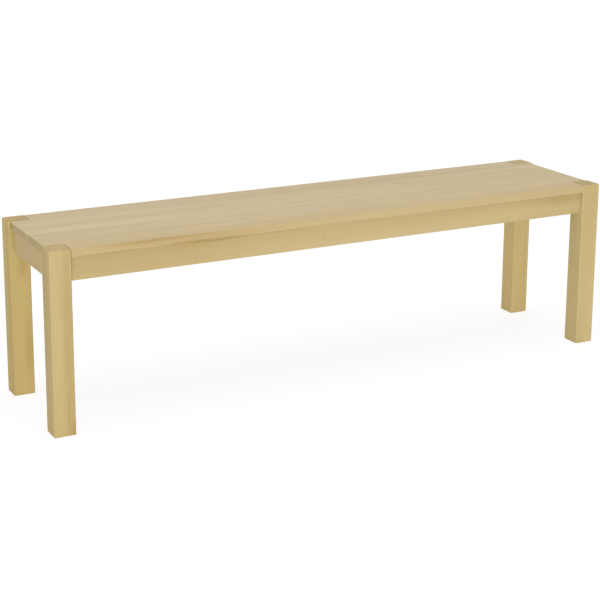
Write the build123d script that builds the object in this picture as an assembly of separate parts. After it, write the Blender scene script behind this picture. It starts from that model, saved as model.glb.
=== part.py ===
"""Backless dining bench in light solid wood, with legs that come up flush through the seat corners.

Five edge-glued staves make the seat board. Its corners are notched round four square legs, whose
end grain shows level with the seat. Four aprons stand on edge under the board, set back from the
outer faces of the legs and dowelled to them. At each corner a bent steel bracket hooks into saw
kerfs in the two aprons and draws the leg in with two hanger bolts. Cleats glued to the aprons take
the screws that hold the board down, and a dowelled cross rail ties the long aprons together.

Frame: millimetres, +X along the bench to the right, +Y to the back, +Z up. The origin is on the
floor, at the centre of the footprint.
"""

import os
from math import sqrt

from build123d import *

# Overall sizes of the bench
bench_length = 1600
bench_depth = 370
bench_height = 460

# Legs: square posts with eased arrises
leg_side = 55
leg_arris_radius = 3
leg_end_chamfer = 1.5
bolt_flat_cut = 10

# Seat board: staves glued edge to edge
seat_thickness = 20
seat_edge_radius = 3
seat_end_inset = 6
seat_front_inset = 2
seat_leg_gap = 1
stave_count = 5

# Aprons: rails on edge under the seat board
apron_height = 60
apron_thickness = 22
apron_setback = 12
apron_edge_radius = 2

# Cross rail between the long aprons
cross_rail_height = 45
cross_rail_thickness = 22
cross_rail_edge_radius = 2

# Dowels between aprons and legs, and between cross rail and long aprons
dowel_diameter = 8
dowel_end_play = 0.5
leg_dowel_depth_in_leg = 18
leg_dowel_depth_in_apron = 20
leg_dowel_spacing = 32
cross_dowel_depth_in_apron = 12
cross_dowel_depth_in_rail = 20
cross_dowel_spacing = 22

# Cleats that hold the seat board to the aprons
cleat_side = 18
cleat_edge_radius = 1
cleat_end_space = 20
long_cleat_screw_inset = 45
long_cleat_screw_count = 3
end_cleat_screw_inset = 14

# Corner bracket: one bent strip of steel
bracket_thickness = 2
bracket_height = 48
bracket_bend_radius = 1
bracket_wing_length = 30
bracket_flange_depth = 8
bracket_leg_gap = 6
kerf_clearance = 0.3
kerf_extra_depth = 1
bracket_screw_spacing = 28

# Hanger bolts with their washers and nuts
bolt_diameter = 8
bolt_wood_length = 45
bolt_free_length = 25
bolt_tip_length = 6
bolt_spacing = 24
bolt_hole_diameter = 9
washer_diameter = 18
washer_thickness = 1.6
nut_across_flats = 13
nut_height = 6.5

# Wood screws
screw_diameter = 4
screw_head_diameter = 8
cleat_screw_length = 30
cleat_screw_head_depth = 2.4
bracket_screw_length = 16
bracket_screw_head_height = 2.6

# Play round a shank, dowel or bolt in its hole
shank_clearance = 0.05
cut_overrun = 5

# Levels and places that follow from the sizes above
seat_underside = bench_height - seat_thickness
apron_bottom = seat_underside - apron_height
apron_middle = seat_underside - apron_height / 2
apron_inner = apron_setback + apron_thickness
apron_centre = apron_setback + apron_thickness / 2
seat_half_length = bench_length / 2 - seat_end_inset
seat_half_depth = bench_depth / 2 - seat_front_inset
stave_width = 2 * seat_half_depth / stave_count
bracket_knee = (2 * leg_side - bolt_flat_cut + bracket_leg_gap * sqrt(2)) - apron_inner
bracket_flange_at = bracket_knee + bracket_wing_length
flat_distance = (2 * leg_side - bolt_flat_cut) / sqrt(2)
plate_distance = flat_distance + bracket_leg_gap
cleat_start = bracket_flange_at + bracket_thickness + cleat_end_space
cleat_middle = apron_inner + cleat_side / 2
cleat_underside = seat_underside - cleat_side

LOW = (Align.MIN, Align.MIN, Align.MIN)
STANDING = (Align.CENTER, Align.CENTER, Align.MIN)
corner_place = Location((-bench_length / 2, -bench_depth / 2, 0))
corners = {
    "front_left": (False, False),
    "front_right": (True, False),
    "back_left": (False, True),
    "back_right": (True, True),
}


def block(low, high):
    """A plain box between two opposite corner points."""
    size = [b - a for a, b in zip(low, high)]
    return Pos(*low) * Box(*size, align=LOW)


def mirrored(shape, across_length, across_depth):
    """The shape carried from the front left corner to another one."""
    if across_length:
        shape = mirror(shape, about=Plane.YZ)
    if across_depth:
        shape = mirror(shape, about=Plane.XZ)
    return shape


def at_each_corner(shape):
    """Named copies of a shape that is drawn at the front left corner of the bench."""
    return {name: mirrored(shape, *flips) for name, flips in corners.items()}


def gathered(shapes):
    """One compound that holds every solid of the given shapes."""
    return Compound(children=[solid for shape in shapes for solid in shape.solids()])


def turned(outline):
    """A solid turned about the Z axis from (radius, height) points that start and end on the axis."""
    return revolve(Plane.XZ * make_face(Polyline(*outline, close=True)), axis=Axis.Z)


def blind_hole(diameter, depth):
    """A flat-bottomed hole along Z, its mouth at zero, wider than its shank by the clearance."""
    hole = Cylinder(diameter / 2 + shank_clearance, depth + cut_overrun, align=STANDING)
    return Pos(0, 0, -depth) * hole


def diagonal_axis(distance, level):
    """A plane facing the bench centre, on the corner's diagonal at a distance from its outer arris."""
    along = distance / sqrt(2)
    return Plane(origin=(along, along, level), x_dir=(0, 0, 1), z_dir=(1, 1, 0))


def bolt_levels():
    """Heights of the two hanger bolts in a leg."""
    return [apron_middle + side * bolt_spacing / 2 for side in (-1, 1)]


def leg_dowel_places(along_length):
    """Planes on the leg where an apron butts, facing into the long apron or into the end apron."""
    places = []
    for side in (-1, 1):
        level = apron_middle + side * leg_dowel_spacing / 2
        if along_length:
            places.append(Plane(origin=(leg_side, apron_centre, level), x_dir=(0, 0, 1), z_dir=(1, 0, 0)))
        else:
            places.append(Plane(origin=(apron_centre, leg_side, level), x_dir=(0, 0, 1), z_dir=(0, 1, 0)))
    return places


def bracket_screw_places():
    """Planes at the heads' seats of a bracket's four screws, facing out of the wood."""
    along = bracket_knee + bracket_wing_length / 2
    face = apron_inner + bracket_thickness
    places = []
    for side in (-1, 1):
        level = apron_middle + side * bracket_screw_spacing / 2
        places.append(Plane(origin=(along, face, level), x_dir=(1, 0, 0), z_dir=(0, 1, 0)))
        places.append(Plane(origin=(face, along, level), x_dir=(0, 1, 0), z_dir=(1, 0, 0)))
    return places


# Fasteners drawn along Z with the wood below zero, their shanks plain and their screw points flat


def hanger_bolt():
    """A stud: its tapered end holds in the leg, its free end takes the washer and the nut."""
    radius = bolt_diameter / 2
    outline = [
        (0, -bolt_wood_length),
        (radius, bolt_tip_length - bolt_wood_length),
        (radius, bolt_free_length),
        (0, bolt_free_length),
    ]
    return turned(outline)


def pan_head_screw():
    """Bracket screw: head on the steel, shank in the apron."""
    shank, head = screw_diameter / 2, screw_head_diameter / 2
    outline = [
        (0, -bracket_screw_length),
        (shank, -bracket_screw_length),
        (shank, 0),
        (head, 0),
        (head, bracket_screw_head_height),
        (0, bracket_screw_head_height),
    ]
    return turned(outline)


def countersunk_screw():
    """Cleat screw, its head face level with the cleat."""
    shank, head = screw_diameter / 2, screw_head_diameter / 2
    outline = [
        (0, -cleat_screw_length),
        (shank, -cleat_screw_length),
        (shank, -cleat_screw_head_depth),
        (head, 0),
        (0, 0),
    ]
    return turned(outline)


def countersunk_hole():
    """Through hole in a cleat, its countersink wider than the head by the clearance."""
    shank = screw_diameter / 2 + shank_clearance
    head = screw_head_diameter / 2 + shank_clearance
    outline = [
        (0, -cleat_screw_length),
        (shank, -cleat_screw_length),
        (shank, -cleat_screw_head_depth),
        (head, 0),
        (head, cut_overrun),
        (0, cut_overrun),
    ]
    return turned(outline)


def dowel(below, above):
    """A peg along Z, from a depth below zero to a height above it."""
    return Pos(0, 0, -below) * Cylinder(dowel_diameter / 2, below + above, align=STANDING)


def dowel_hole(below):
    """The blind hole for the part of a dowel below zero, with end play at its bottom."""
    return blind_hole(dowel_diameter, below + dowel_end_play)


def far_dowel_hole(above):
    """The blind hole for the part of a dowel above zero."""
    return Rot(0, 180, 0) * dowel_hole(above)


def washer():
    """A flat washer with its underside at zero."""
    disc = Cylinder(washer_diameter / 2, washer_thickness, align=STANDING)
    return disc - Cylinder(bolt_hole_diameter / 2, 2 * washer_thickness)


def hex_nut():
    """A plain hexagon nut with its underside at zero."""
    hexagon = extrude(RegularPolygon(nut_across_flats / 2, 6, major_radius=False), nut_height)
    return hexagon - Cylinder(bolt_diameter / 2 + shank_clearance, 2 * nut_height)


# Corner bracket, drawn in plan from the outer corner of the bench


def bracket_plan_line(offset, flange_bend, knee_bend):
    """One face of the bent strip: flange, wing, diagonal plate, wing, flange."""
    base = apron_inner + offset
    knee = bracket_knee + offset * (sqrt(2) - 1)
    far = bracket_flange_at + offset
    tip = apron_inner - bracket_flange_depth
    points = [(far, tip), (far, base), (knee, base), (base, knee), (base, far), (tip, far)]
    return FilletPolyline(*points, radius=[flange_bend, knee_bend, knee_bend, flange_bend])


def corner_bracket():
    """Steel strip that spans the corner, with holes for two bolts and four screws."""
    leg_face = bracket_plan_line(0, bracket_bend_radius, bracket_bend_radius + bracket_thickness)
    room_face = bracket_plan_line(
        bracket_thickness, bracket_bend_radius + bracket_thickness, bracket_bend_radius
    )
    ends = [Line(leg_face @ 0, room_face @ 0), Line(leg_face @ 1, room_face @ 1)]
    plan = make_face(leg_face.edges() + room_face.edges() + ends)
    strip = Pos(0, 0, apron_middle - bracket_height / 2) * extrude(plan, bracket_height)
    bolt_hole = Cylinder(bolt_hole_diameter / 2, 4 * bracket_thickness)
    for level in bolt_levels():
        strip -= diagonal_axis(plate_distance, level) * bolt_hole
    screw_hole = Cylinder(screw_diameter / 2 + shank_clearance, 4 * bracket_thickness)
    for place in bracket_screw_places():
        strip -= place * screw_hole
    return strip


# Wooden pieces


def leg():
    """One post, with the flat that the hanger bolts enter milled on its inner arris under the seat."""
    post = Box(leg_side, leg_side, bench_height, align=LOW)
    post = fillet(post.edges().filter_by(Axis.Z), leg_arris_radius)
    ends = post.faces().sort_by(Axis.Z)[0].edges() + post.faces().sort_by(Axis.Z)[-1].edges()
    post = chamfer(ends, leg_end_chamfer)
    cutter = Box(2 * leg_side, bolt_flat_cut, apron_height, align=(Align.CENTER, Align.MIN, Align.MIN))
    along = flat_distance / sqrt(2)
    post -= Pos(along, along, apron_bottom) * Rot(0, 0, -45) * cutter
    for level in bolt_levels():
        post -= diagonal_axis(flat_distance, level) * blind_hole(bolt_diameter, bolt_wood_length)
    for place in leg_dowel_places(True) + leg_dowel_places(False):
        post -= place * dowel_hole(leg_dowel_depth_in_leg)
    return post


def kerf(along_length):
    """Saw kerf for a bracket flange: across the long apron if along_length, else across the end apron."""
    low = bracket_flange_at - bracket_bend_radius
    high = bracket_flange_at + bracket_thickness + kerf_clearance
    floor = apron_inner - bracket_flange_depth - kerf_extra_depth
    top = apron_inner + cut_overrun
    levels = (apron_bottom - cut_overrun, seat_underside + cut_overrun)
    if along_length:
        return block((low, floor, levels[0]), (high, top, levels[1]))
    return block((floor, low, levels[0]), (top, high, levels[1]))


def corner_joinery():
    """What the bracket and the dowels need cut into the aprons at the front left corner."""
    cuts = [kerf(True), kerf(False)]
    for place in bracket_screw_places():
        cuts.append(place * blind_hole(screw_diameter, bracket_screw_length))
    for place in leg_dowel_places(True) + leg_dowel_places(False):
        cuts.append(place * far_dowel_hole(leg_dowel_depth_in_apron))
    return cuts


def apron(low, high, long_axis):
    """A rail on edge between two corner points, its two lower arrises eased."""
    rail = block(low, high)
    lower = rail.faces().sort_by(Axis.Z)[0].edges().filter_by(long_axis)
    return fillet(lower, apron_edge_radius)


def spread(count, first, last):
    """Even places from first to last."""
    return [first + (last - first) * i / (count - 1) for i in range(count)]


def long_cleat_span():
    """X from the corner side to the middle side of a long cleat on the left half."""
    start = -bench_length / 2 + cleat_start
    end = -cross_rail_thickness / 2 - cleat_end_space
    return start, end


def end_cleat_span():
    """Y of the two ends of an end cleat."""
    half = bench_depth / 2 - cleat_start
    return -half, half


def cleat_screw_place(x, y):
    """Plane of a screw's head face on the underside of a cleat, facing down."""
    return Plane(origin=(x, y, cleat_underside), x_dir=(1, 0, 0), z_dir=(0, 0, -1))


def long_cleat_screw_places():
    """Places of the screws in the front left cleat."""
    start, end = long_cleat_span()
    y = -bench_depth / 2 + cleat_middle
    along = spread(long_cleat_screw_count, start + long_cleat_screw_inset, end - long_cleat_screw_inset)
    return [cleat_screw_place(x, y) for x in along]


def end_cleat_screw_place():
    """Place of the screw in the front half of the left end cleat."""
    return cleat_screw_place(-bench_length / 2 + cleat_middle, end_cleat_span()[0] + end_cleat_screw_inset)


def quarter_cleat_screw_places():
    """Places of the cleat screws in the front left quarter of the bench."""
    return long_cleat_screw_places() + [end_cleat_screw_place()]


def everywhere(shapes):
    """The shapes of the front left quarter, and the same in the other three."""
    return [mirrored(shape, *flips) for flips in corners.values() for shape in shapes]


def cleats():
    """The six cleats with their screw holes."""
    start, end = long_cleat_span()
    front = -bench_depth / 2 + apron_inner
    long_cleat = block((start, front, cleat_underside), (end, front + cleat_side, seat_underside))
    near = long_cleat.faces().sort_by(Axis.Y)[-1].edges().filter_by(Axis.X).sort_by(Axis.Z)[0]
    long_cleat = fillet(near, cleat_edge_radius)
    side = -bench_length / 2 + apron_inner
    low, high = end_cleat_span()
    end_cleat = block((side, low, cleat_underside), (side + cleat_side, high, seat_underside))
    near = end_cleat.faces().sort_by(Axis.X)[-1].edges().filter_by(Axis.Y).sort_by(Axis.Z)[0]
    end_cleat = fillet(near, cleat_edge_radius)
    for place in long_cleat_screw_places():
        long_cleat -= place * countersunk_hole()
    hole = end_cleat_screw_place() * countersunk_hole()
    end_cleat -= hole
    end_cleat -= mirrored(hole, False, True)
    made = {f"cleat_{name}": shape for name, shape in at_each_corner(long_cleat).items()}
    made["cleat_end_left"] = end_cleat
    made["cleat_end_right"] = mirrored(end_cleat, True, False)
    return made


def cross_dowel_places():
    """Planes on the front apron where the cross rail butts, facing into the cross rail."""
    front = -bench_depth / 2 + apron_inner
    middle = seat_underside - cross_rail_height / 2
    return [
        Plane(origin=(0, front, middle + side * cross_dowel_spacing / 2), x_dir=(1, 0, 0), z_dir=(0, 1, 0))
        for side in (-1, 1)
    ]


def leg_dowels():
    """The dowels of all four corners."""
    peg = dowel(leg_dowel_depth_in_leg, leg_dowel_depth_in_apron)
    places = leg_dowel_places(True) + leg_dowel_places(False)
    return gathered(everywhere([corner_place * (place * peg) for place in places]))


def cross_rail_dowels():
    """The dowels at both ends of the cross rail."""
    peg = dowel(cross_dowel_depth_in_apron, cross_dowel_depth_in_rail)
    front = [place * peg for place in cross_dowel_places()]
    return gathered(front + [mirrored(shape, False, True) for shape in front])


def cross_rail():
    """The rail between the long aprons, bored at both ends for its dowels."""
    half = bench_depth / 2 - apron_inner
    low = (-cross_rail_thickness / 2, -half, seat_underside - cross_rail_height)
    high = (cross_rail_thickness / 2, half, seat_underside)
    rail = block(low, high)
    lower = rail.faces().sort_by(Axis.Z)[0].edges().filter_by(Axis.Y)
    rail = fillet(lower, cross_rail_edge_radius)
    for place in cross_dowel_places():
        bore = place * far_dowel_hole(cross_dowel_depth_in_rail)
        rail -= bore
        rail -= mirrored(bore, False, True)
    return rail


def aprons():
    """Front, back and end aprons, with kerfs, pilot holes and dowel holes on their inner faces."""
    half_length, half_depth = bench_length / 2, bench_depth / 2
    front = apron(
        (leg_side - half_length, apron_setback - half_depth, apron_bottom),
        (half_length - leg_side, apron_inner - half_depth, seat_underside),
        Axis.X,
    )
    left = apron(
        (apron_setback - half_length, leg_side - half_depth, apron_bottom),
        (apron_inner - half_length, half_depth - leg_side, seat_underside),
        Axis.Y,
    )
    for cut in [corner_place * cut for cut in corner_joinery()]:
        front -= cut
        front -= mirrored(cut, True, False)
        left -= cut
        left -= mirrored(cut, False, True)
    for place in cross_dowel_places():
        front -= place * dowel_hole(cross_dowel_depth_in_apron)
    return {
        "apron_front": front,
        "apron_back": mirrored(front, False, True),
        "apron_left": left,
        "apron_right": mirrored(left, True, False),
    }


def leg_notch():
    """What is sawn from the board's front left corner to clear the leg, its inner corner rounded."""
    reach = leg_side + seat_leg_gap
    below = seat_underside - cut_overrun
    above = bench_height + cut_overrun
    notch = block((-cut_overrun, -cut_overrun, below), (reach, reach, above))
    inner = notch.edges().filter_by(Axis.Z).sort_by(lambda edge: edge.center().X + edge.center().Y)[-1]
    return fillet(inner, leg_arris_radius + seat_leg_gap)


def seat_board():
    """The whole board: outer edges rounded over, corners notched, pilot holes for the cleat screws."""
    low = (-seat_half_length, -seat_half_depth, seat_underside)
    board = block(low, (seat_half_length, seat_half_depth, bench_height))
    board = fillet(board.edges().filter_by(Axis.Z, reverse=True), seat_edge_radius)
    for notch in at_each_corner(corner_place * leg_notch()).values():
        board -= notch
    pilot = blind_hole(screw_diameter, cleat_screw_length)
    for hole in everywhere([place * pilot for place in quarter_cleat_screw_places()]):
        board -= hole
    return board


def seat_staves():
    """The board ripped into its staves, numbered from the front."""
    board = seat_board()
    half_length = seat_half_length + cut_overrun
    below = seat_underside - cut_overrun
    above = bench_height + cut_overrun
    staves = {}
    for i in range(stave_count):
        low = i * stave_width - seat_half_depth
        slab = block((-half_length, low, below), (half_length, low + stave_width, above))
        staves[f"seat_stave_{i + 1}"] = board & slab
    return staves


def corner_hardware():
    """Bolts, washers, nuts and bracket screws, each as one group for the whole bench."""
    on_plate = plate_distance + bracket_thickness
    bolts = [diagonal_axis(flat_distance, level) * hanger_bolt() for level in bolt_levels()]
    washers = [diagonal_axis(on_plate, level) * washer() for level in bolt_levels()]
    nuts = [diagonal_axis(on_plate + washer_thickness, level) * hex_nut() for level in bolt_levels()]
    screws = [place * pan_head_screw() for place in bracket_screw_places()]
    groups = {"hanger_bolts": bolts, "bolt_washers": washers, "bolt_nuts": nuts, "bracket_screws": screws}
    return {
        name: gathered(everywhere([corner_place * shape for shape in shapes]))
        for name, shapes in groups.items()
    }


def bench():
    """Every sub-part by name."""
    parts = {f"leg_{name}": shape for name, shape in at_each_corner(corner_place * leg()).items()}
    parts.update(seat_staves())
    parts.update(aprons())
    parts["leg_dowels"] = leg_dowels()
    parts["cross_rail"] = cross_rail()
    parts["cross_rail_dowels"] = cross_rail_dowels()
    parts.update(cleats())
    screws = [place * countersunk_screw() for place in quarter_cleat_screw_places()]
    parts["cleat_screws"] = gathered(everywhere(screws))
    bracket = corner_place * corner_bracket()
    parts.update({f"corner_bracket_{name}": shape for name, shape in at_each_corner(bracket).items()})
    parts.update(corner_hardware())
    return parts


os.makedirs("parts", exist_ok=True)
for node, shape in bench().items():
    export_step(shape, f"parts/{node}.step")
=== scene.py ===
"""Finish and stage a backless dining bench: lacquered wood, plated fittings, soft studio light."""

from math import cos, pi, radians, sin, tan

import bmesh
import bpy
from mathutils import Matrix, Vector


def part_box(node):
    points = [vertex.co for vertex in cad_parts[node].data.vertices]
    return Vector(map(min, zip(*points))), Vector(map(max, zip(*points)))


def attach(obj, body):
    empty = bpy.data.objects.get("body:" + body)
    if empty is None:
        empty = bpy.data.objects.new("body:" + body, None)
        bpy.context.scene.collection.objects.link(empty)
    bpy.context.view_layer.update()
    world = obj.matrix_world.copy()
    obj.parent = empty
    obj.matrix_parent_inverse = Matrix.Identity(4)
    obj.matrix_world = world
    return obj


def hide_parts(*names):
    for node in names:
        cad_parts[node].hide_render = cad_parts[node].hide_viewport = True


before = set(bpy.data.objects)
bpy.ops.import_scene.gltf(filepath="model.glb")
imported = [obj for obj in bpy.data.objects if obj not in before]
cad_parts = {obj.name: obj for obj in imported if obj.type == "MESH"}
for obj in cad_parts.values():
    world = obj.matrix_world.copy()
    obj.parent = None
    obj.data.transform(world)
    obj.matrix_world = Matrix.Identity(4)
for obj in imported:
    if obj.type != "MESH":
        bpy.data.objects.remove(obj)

bl_info = {
    "name": "Dining Bench",
    "version": (1, 0, 0),
    "blender": (4, 5, 0),
    "location": "3D View > Sidebar > Bench",
    "description": "Wood, fittings and studio for a backless dining bench",
    "category": "Object",
}

ROOT = "root"
MM = 0.001
SIDES = ("left", "right")
DEPTHS = ("front", "back")
STAVES = sorted(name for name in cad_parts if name.startswith("seat_stave_"))
CLEATS = sorted(
    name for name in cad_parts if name.startswith("cleat_") and name != "cleat_screws")
BRACKETS = [f"corner_bracket_{depth}_{side}" for depth in DEPTHS for side in SIDES]
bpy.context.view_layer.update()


# Settings that a user would change


class BenchWoodSettings(bpy.types.PropertyGroup):
    """Colours, figure and lacquer of the wood."""

    seat_color: bpy.props.FloatVectorProperty(
        name="Seat", description="Light tone of the seat staves", default=(0.635, 0.520, 0.303),
        subtype="COLOR", min=0, max=1)
    frame_color: bpy.props.FloatVectorProperty(
        name="Frame", description="Light tone of the legs and aprons",
        default=(0.630, 0.505, 0.257), subtype="COLOR", min=0, max=1)
    inner_color: bpy.props.FloatVectorProperty(
        name="Inner pieces",
        description="Light tone of the unlacquered cleats, cross rail and dowels",
        default=(0.590, 0.455, 0.240), subtype="COLOR", min=0, max=1)
    deep_share: bpy.props.FloatVectorProperty(
        name="Dark grain", description="Share of the light tone that is left in the darkest grain",
        default=(0.80, 0.74, 0.62), subtype="COLOR", min=0, max=1)
    end_share: bpy.props.FloatVectorProperty(
        name="End grain", description="Share of the tone that is left on end grain",
        default=(0.92, 0.88, 0.85), subtype="COLOR", min=0, max=1)
    seat_end_share: bpy.props.FloatVectorProperty(
        name="Seat end grain",
        description="Share of the tone that is left on the seat's sawn ends",
        default=(0.765, 0.72, 0.535), subtype="COLOR", min=0, max=1)
    ring_spacing: bpy.props.FloatProperty(
        name="Growth rings", description="Distance between growth rings", default=4.2 * MM,
        unit="LENGTH")
    ring_strength: bpy.props.FloatProperty(
        name="Late wood", description="Darkness of the late wood in each growth ring",
        default=0.28, min=0, max=1)
    seat_figure: bpy.props.FloatProperty(
        name="Seat figure", description="Share of the rings and streaks that shows on the seat",
        default=0.50, min=0, max=1)
    frame_figure: bpy.props.FloatProperty(
        name="Frame figure",
        description="Share of the rings and streaks that shows on the legs and aprons",
        default=0.65, min=0, max=1)
    lacquer_roughness: bpy.props.FloatProperty(
        name="Lacquer roughness", description="Roughness of the satin lacquer", default=0.50,
        min=0, max=1)
    seat_sheen: bpy.props.FloatProperty(
        name="Seat sheen", description="Strength of the reflections on the seat", default=0.25,
        min=0, max=1)
    frame_sheen: bpy.props.FloatProperty(
        name="Frame sheen", description="Strength of the reflections on the legs and aprons",
        default=0.10, min=0, max=1)


class BenchShapeSettings(bpy.types.PropertyGroup):
    """Roundings and joints of the wooden pieces."""

    leg_arris: bpy.props.FloatProperty(
        name="Leg arris", description="Radius along the legs", default=3 * MM, unit="LENGTH")
    leg_end: bpy.props.FloatProperty(
        name="Leg end", description="Radius round the ends of the legs", default=1.5 * MM,
        unit="LENGTH")
    bolt_flat: bpy.props.FloatProperty(
        name="Bolt flat",
        description="How far the flat for the bolts is cut in from the arris, along each face",
        default=10 * MM, unit="LENGTH")
    seat_edge: bpy.props.FloatProperty(
        name="Seat edge", description="Radius round the seat board", default=3 * MM, unit="LENGTH")
    seat_gap: bpy.props.FloatProperty(
        name="Notch gap", description="Gap between seat board and leg", default=0.6 * MM,
        unit="LENGTH")
    cut_ease: bpy.props.FloatProperty(
        name="Sanded cut", description="How far sawn edges are sanded off", default=0.4 * MM,
        unit="LENGTH")
    apron_edge: bpy.props.FloatProperty(
        name="Apron edge", description="Radius along the lower edges of the aprons",
        default=2 * MM, unit="LENGTH")
    kerf_width: bpy.props.FloatProperty(
        name="Kerf width", description="Width of the saw kerfs for the brackets", default=3.3 * MM,
        unit="LENGTH")
    kerf_depth: bpy.props.FloatProperty(
        name="Kerf depth", description="Depth of the saw kerfs for the brackets", default=9 * MM,
        unit="LENGTH")
    kerf_play: bpy.props.FloatProperty(
        name="Kerf play",
        description="Room between a kerf and the outer face of the bracket's flange",
        default=0.3 * MM, unit="LENGTH")


class BenchSteelSettings(bpy.types.PropertyGroup):
    """Sizes and colours of the bolts, nuts and screws."""

    zinc_color: bpy.props.FloatVectorProperty(
        name="Zinc", description="Colour of the plated brackets and bolts",
        default=(0.60, 0.60, 0.58), subtype="COLOR", min=0, max=1)
    screw_color: bpy.props.FloatVectorProperty(
        name="Screw zinc", description="Colour of the yellow plated screws",
        default=(0.66, 0.58, 0.36), subtype="COLOR", min=0, max=1)
    bolt_diameter: bpy.props.FloatProperty(
        name="Bolt", description="Diameter of the hanger bolts", default=8 * MM, unit="LENGTH")
    bolt_pitch: bpy.props.FloatProperty(
        name="Bolt pitch", description="Rise of the bolt's thread in one turn", default=1.25 * MM,
        unit="LENGTH")
    bolt_free: bpy.props.FloatProperty(
        name="Free length", description="Length of bolt outside the leg", default=25 * MM,
        unit="LENGTH")
    bolt_wood: bpy.props.FloatProperty(
        name="Wood length", description="Length of bolt inside the leg", default=45 * MM,
        unit="LENGTH")
    washer_diameter: bpy.props.FloatProperty(
        name="Washer", description="Diameter of the washers", default=18 * MM, unit="LENGTH")
    washer_thickness: bpy.props.FloatProperty(
        name="Washer thickness", description="Thickness of the washers", default=1.6 * MM,
        unit="LENGTH")
    nut_flats: bpy.props.FloatProperty(
        name="Nut", description="Nut size across its flats", default=13 * MM, unit="LENGTH")
    nut_height: bpy.props.FloatProperty(
        name="Nut height", description="Height of the nuts", default=6.5 * MM, unit="LENGTH")
    screw_diameter: bpy.props.FloatProperty(
        name="Screw", description="Diameter of the screws", default=4 * MM, unit="LENGTH")
    screw_head: bpy.props.FloatProperty(
        name="Screw head", description="Diameter of the screw heads", default=8 * MM,
        unit="LENGTH")
    pan_height: bpy.props.FloatProperty(
        name="Pan head", description="Height of the bracket screws' heads", default=2.6 * MM,
        unit="LENGTH")
    bracket_screw: bpy.props.FloatProperty(
        name="Bracket screw", description="Length of the bracket screws' shanks", default=16 * MM,
        unit="LENGTH")
    sunk_depth: bpy.props.FloatProperty(
        name="Countersunk head", description="Depth of the cleat screws' heads", default=2.4 * MM,
        unit="LENGTH")
    cleat_screw: bpy.props.FloatProperty(
        name="Cleat screw", description="Length of the cleat screws with their heads",
        default=30 * MM, unit="LENGTH")


class BenchStudioSettings(bpy.types.PropertyGroup):
    """Camera and light."""

    camera_place: bpy.props.FloatVectorProperty(
        name="Camera", description="Place of the camera", default=(-1.850, -3.430, 1.392),
        unit="LENGTH")
    camera_heading: bpy.props.FloatProperty(
        name="Heading", description="Turn of the view to the right of straight back",
        default=radians(27.73), unit="ROTATION")
    camera_dip: bpy.props.FloatProperty(
        name="Dip", description="How far the view looks down", default=radians(13.09),
        unit="ROTATION")
    camera_roll: bpy.props.FloatProperty(
        name="Roll", description="Turn of the picture", default=radians(0.31), unit="ROTATION")
    focal_length: bpy.props.FloatProperty(
        name="Focal length", description="Lens, in millimetres on a 36 mm sensor", default=90.5)
    camera_shift: bpy.props.FloatProperty(
        name="Shift", description="Vertical shift of the picture", default=-0.183)
    sky_strength: bpy.props.FloatProperty(
        name="Sky", description="Strength of the light from all round", default=0.55)
    lamp_distance: bpy.props.FloatProperty(
        name="Lamp distance", description="Distance of the low lamps from the bench", default=9.7,
        unit="LENGTH")
    key_power: bpy.props.FloatProperty(
        name="Key light", description="Power of the lamp beside the camera", default=340.0,
        unit="POWER")
    fill_power: bpy.props.FloatProperty(
        name="Fill light", description="Power of the lamp to the right of the camera",
        default=50.0, unit="POWER")
    back_power: bpy.props.FloatProperty(
        name="Back light", description="Power of the lamp behind the bench", default=260.0,
        unit="POWER")
    top_power: bpy.props.FloatProperty(
        name="Top light", description="Power of the square lamp over the bench", default=52.0,
        unit="POWER")
    floor_glow: bpy.props.FloatProperty(
        name="Floor glow",
        description="Strength of the white that the camera and reflections see in the floor",
        default=1.18, min=0)
    shadow_share: bpy.props.FloatProperty(
        name="Floor shadow", description="Share of the floor's look that takes shadow",
        default=0.30, min=0, max=1)


# Helpers for node trees


def put(tree, kind, inputs=None, **settings):
    """Add a node, set its options and fill its inputs with values or links."""
    node = tree.nodes.new(kind)
    for name, value in settings.items():
        setattr(node, name, value)
    for key, value in (inputs or {}).items():
        if isinstance(value, bpy.types.NodeSocket):
            tree.links.new(value, node.inputs[key])
        else:
            node.inputs[key].default_value = value
    return node


def calc(tree, operation, *values, clamp=False):
    """One Math node."""
    inputs = dict(enumerate(values))
    return put(tree, "ShaderNodeMath", inputs, operation=operation, use_clamp=clamp).outputs[0]


def times(tree, first, second):
    """The product of two values."""
    return calc(tree, "MULTIPLY", first, second)


def less(tree, first, second):
    """The first value less the second."""
    return calc(tree, "SUBTRACT", first, second)


def stacked(tree, base, layers, weights):
    """A value with weighted layers on top."""
    for kind, weight in weights.items():
        base = calc(tree, "MULTIPLY_ADD", layers[kind], weight, base)
    return base


def vector_calc(tree, operation, *values, output=0):
    """One Vector Math node."""
    inputs = dict(enumerate(values))
    return put(tree, "ShaderNodeVectorMath", inputs, operation=operation).outputs[output]


def blend_colors(tree, factor, first, second, mode="MIX"):
    """One colour Mix node."""
    inputs = {"Factor": factor, 6: first, 7: second}
    return put(tree, "ShaderNodeMix", inputs, data_type="RGBA", blend_type=mode).outputs[2]


def step(tree, value, low, high):
    """0 below low, 1 above high and a soft slope between."""
    inputs = {"Value": value, "From Min": low, "From Max": high}
    return put(tree, "ShaderNodeMapRange", inputs, interpolation_type="SMOOTHSTEP").outputs[0]


def noise(tree, vector, cells, detail, roughness=0.5, output="Fac"):
    """Noise with so many cells per metre along each axis."""
    scaled = put(tree, "ShaderNodeMapping", {"Vector": vector, "Scale": cells}).outputs[0]
    inputs = {"Vector": scaled, "Scale": 1.0, "Detail": detail, "Roughness": roughness}
    return put(tree, "ShaderNodeTexNoise", inputs).outputs[output]


def centred(tree, color):
    """A noise colour as a vector round zero."""
    return vector_calc(tree, "SUBTRACT", color, (0.5, 0.5, 0.5))


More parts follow.
